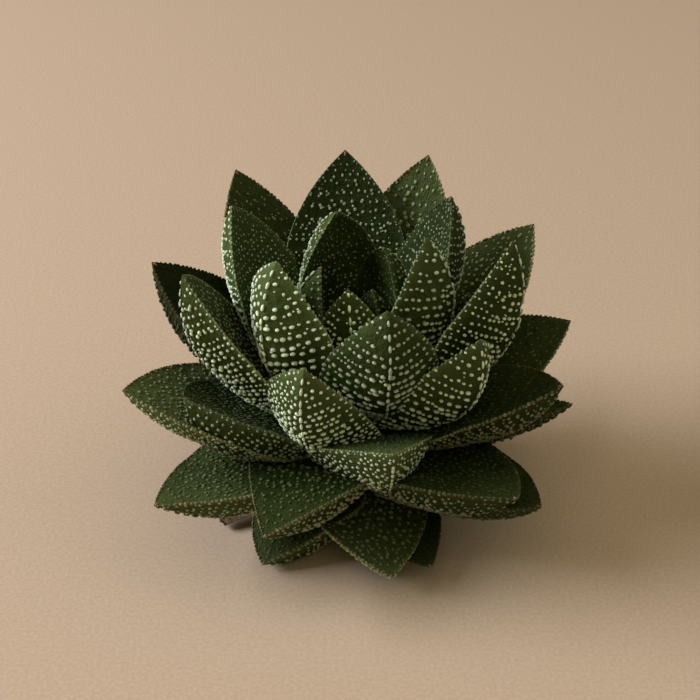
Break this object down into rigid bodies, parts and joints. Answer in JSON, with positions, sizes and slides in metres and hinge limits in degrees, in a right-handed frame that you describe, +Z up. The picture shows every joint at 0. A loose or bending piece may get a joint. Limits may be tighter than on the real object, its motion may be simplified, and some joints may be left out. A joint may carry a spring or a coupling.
{
  "type": "haworthia rosette",
  "caption": "Bare succulent rosette of thick keeled leaves with raised pale tubercles, leaning on a short cut stem, with dried leaf bases under it.",
  "frame": {"origin": "centre of the plant's outline on the surface it stands on", "axes": "+Z up, -Y the side that the rosette leans toward and shows its face to, +X to the right of that view"},
  "size_m": [0.1324, 0.128, 0.1001],
  "materials": {
    "leaf_fresh": "satin, dark green, with raised pale grey-green tubercles",
    "leaf_old": "satin, darker green, browned along the edges and at the tips",
    "stem": "dull, fibrous, with a dry cut underside",
    "dried_leaf": "dull, brittle and wrinkled"
  },
  "bodies": {
    "root": {"stem": "stem", "leaf_crown_1": "leaf_fresh", "leaf_crown_2": "leaf_fresh", "leaf_crown_3": "leaf_fresh", "leaf_crown_4": "leaf_fresh", "leaf_inner_1": "leaf_fresh", "leaf_inner_2": "leaf_fresh", "leaf_inner_3": "leaf_fresh", "leaf_inner_4": "leaf_fresh", "leaf_inner_5": "leaf_fresh", "leaf_inner_6": "leaf_fresh", "leaf_inner_7": "leaf_fresh", "leaf_middle_1": "leaf_fresh", "leaf_middle_2": "leaf_fresh", "leaf_middle_3": "leaf_fresh", "leaf_middle_4": "leaf_fresh", "leaf_middle_5": "leaf_fresh", "leaf_middle_6": "leaf_fresh", "leaf_outer_1": "leaf_old", "leaf_outer_2": "leaf_old", "leaf_outer_3": "leaf_old", "leaf_outer_4": "leaf_old", "leaf_outer_5": "leaf_old", "leaf_outer_6": "leaf_old", "leaf_outer_7": "leaf_old", "leaf_outer_8": "leaf_old", "leaf_lower_1": "leaf_old", "leaf_lower_2": "leaf_old", "leaf_lower_3": "leaf_old", "leaf_lower_4": "leaf_old", "leaf_lower_5": "leaf_old", "leaf_lower_6": "leaf_old", "leaf_lower_7": "leaf_old", "leaf_lower_8": "leaf_old", "leaf_ground_1": "leaf_old", "leaf_ground_2": "leaf_old", "leaf_ground_3": "leaf_old", "leaf_ground_4": "leaf_old", "leaf_ground_5": "leaf_old", "leaf_ground_6": "leaf_old", "dried_leaf_1": "dried_leaf", "dried_leaf_2": "dried_leaf", "dried_leaf_3": "dried_leaf", "dried_leaf_4": "dried_leaf", "dried_leaf_5": "dried_leaf"}
  },
  "joints": []
}
